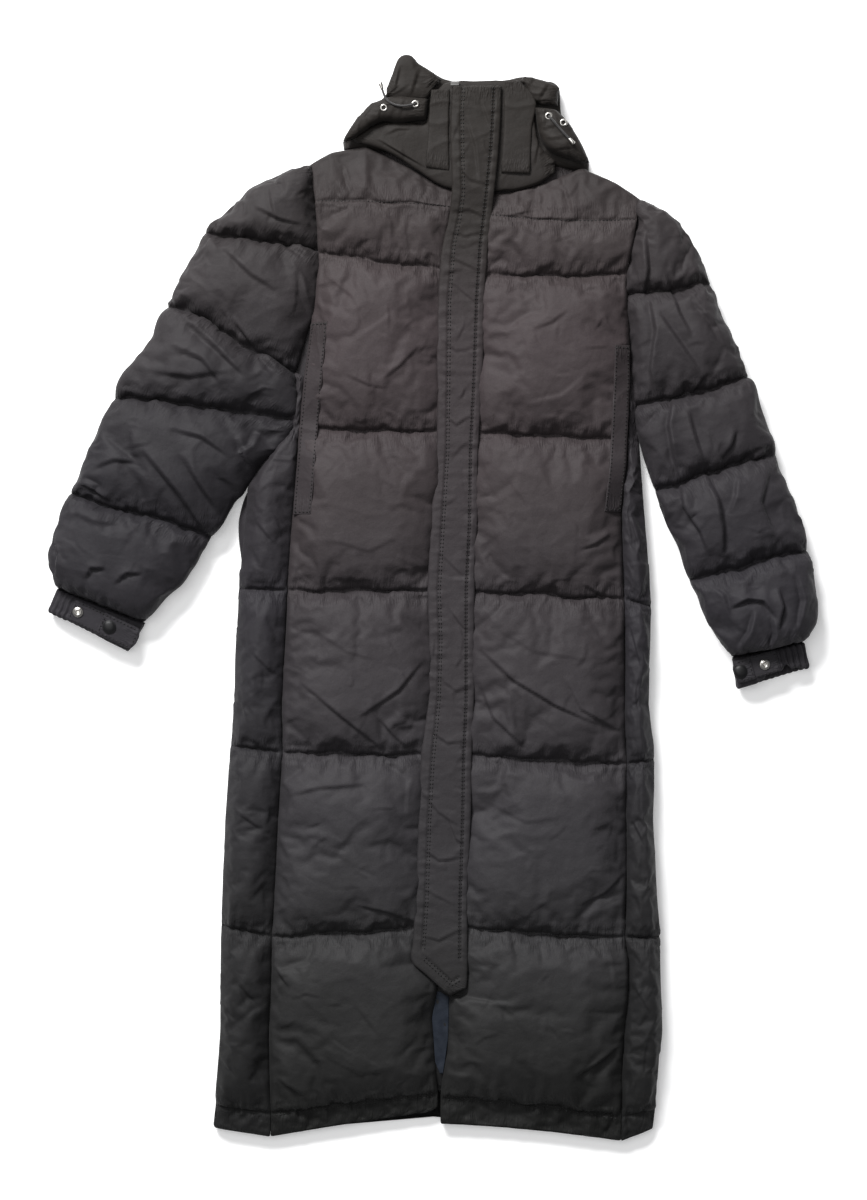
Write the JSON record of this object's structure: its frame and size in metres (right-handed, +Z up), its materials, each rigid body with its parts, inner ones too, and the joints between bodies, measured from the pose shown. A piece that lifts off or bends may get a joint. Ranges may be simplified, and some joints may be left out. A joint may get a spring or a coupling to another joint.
{
  "type": "long puffer coat",
  "caption": "Dark long quilted puffer coat laid flat on its back, with a stand collar, a hood folded behind it, a covered zip, pocket welts and snap-tabbed cuffs.",
  "frame": {"origin": "the middle of the ground under the laid coat", "axes": "+Z up off the ground, +Y from the hem to the hood, +X towards the wearer's left"},
  "size_m": [0.888, 1.253, 0.0501],
  "materials": {
    "shell_cloth": "matt fine woven nylon shell over down padding, brown black with a soft sheen",
    "lining_cloth": "smooth navy lining taffeta",
    "cord": "round black elastic cord",
    "plated_metal": "satin nickel plate",
    "snap_plastic": "matt black snap cap"
  },
  "bodies": {
    "root": {"back": "shell_cloth", "collar": "shell_cloth", "collar_front_left": "shell_cloth", "collar_front_right": "shell_cloth", "cord_end_left": "plated_metal", "cord_end_right": "plated_metal", "cuff_left": "shell_cloth", "cuff_right": "shell_cloth", "cuff_tab_left": "shell_cloth", "cuff_tab_right": "shell_cloth", "drawcord_left": "cord", "drawcord_right": "cord", "eyelet_left_back": "plated_metal", "eyelet_left_front": "plated_metal", "eyelet_right_back": "plated_metal", "eyelet_right_front": "plated_metal", "front_flap": "shell_cloth", "front_left": "shell_cloth", "front_right": "shell_cloth", "hood": "shell_cloth", "hood_brim_left": "shell_cloth", "hood_brim_right": "shell_cloth", "hood_peak_left": "shell_cloth", "hood_peak_right": "shell_cloth", "lining": "lining_cloth", "pocket_welt_left": "shell_cloth", "pocket_welt_right": "shell_cloth", "side_panel_left": "shell_cloth", "side_panel_right": "shell_cloth", "sleeve_left": "shell_cloth", "sleeve_right": "shell_cloth", "snap_cap_left": "snap_plastic", "snap_cap_right": "snap_plastic", "snap_socket_left": "plated_metal", "snap_socket_right": "plated_metal", "zip_top": "plated_metal"}
  },
  "joints": []
}
